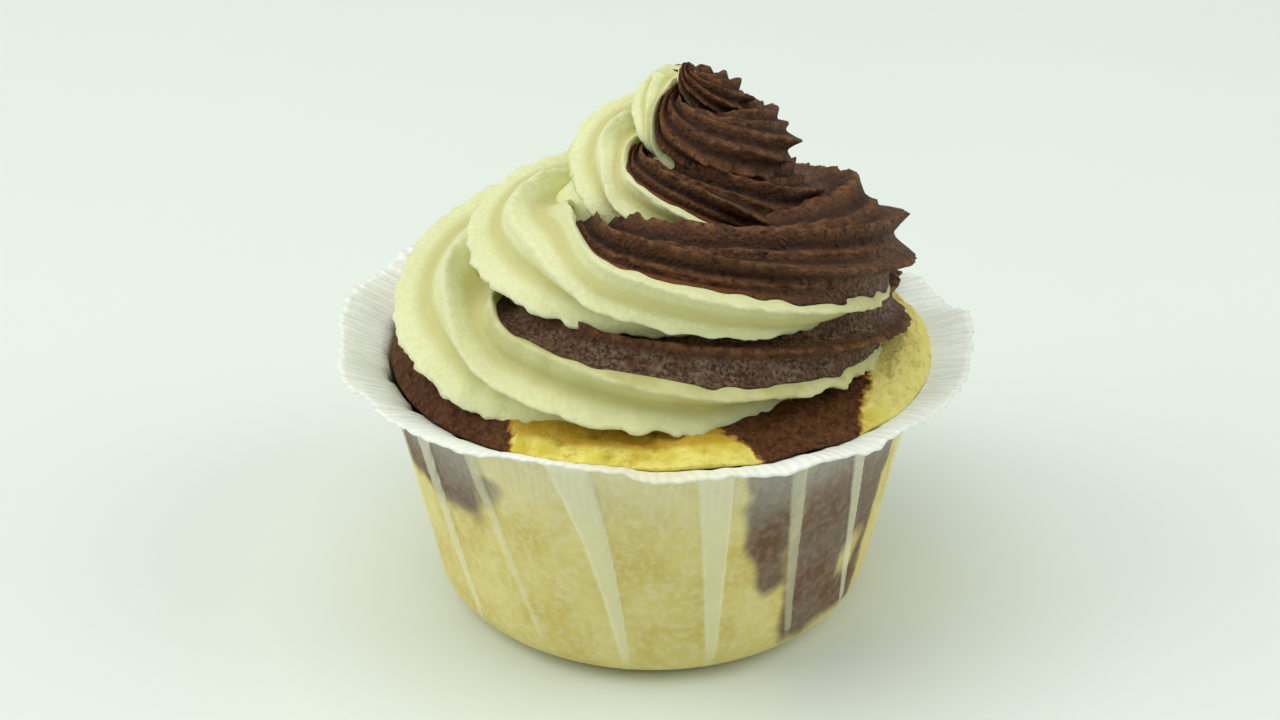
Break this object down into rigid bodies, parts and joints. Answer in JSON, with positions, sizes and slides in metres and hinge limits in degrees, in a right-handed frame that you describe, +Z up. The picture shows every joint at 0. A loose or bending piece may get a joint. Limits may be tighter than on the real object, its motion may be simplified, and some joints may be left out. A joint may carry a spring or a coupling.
{
  "type": "cupcake",
  "caption": "Marbled cupcake in a pleated paper case, topped with a tall swirl of vanilla and chocolate buttercream.",
  "frame": {"origin": "on the cupcake's axis, at the flat underside of the paper case", "axes": "+Z up along the axis of the case, -Y toward the viewer of the picture, +X to the viewer's right"},
  "size_m": [0.073, 0.0728, 0.0636],
  "materials": {
    "paper": "matte",
    "sponge": "matte",
    "vanilla": "satin",
    "chocolate": "matte"
  },
  "bodies": {
    "root": {"paper_case": "paper", "cake": "sponge", "buttercream_vanilla": "vanilla", "buttercream_chocolate": "chocolate"}
  },
  "joints": []
}
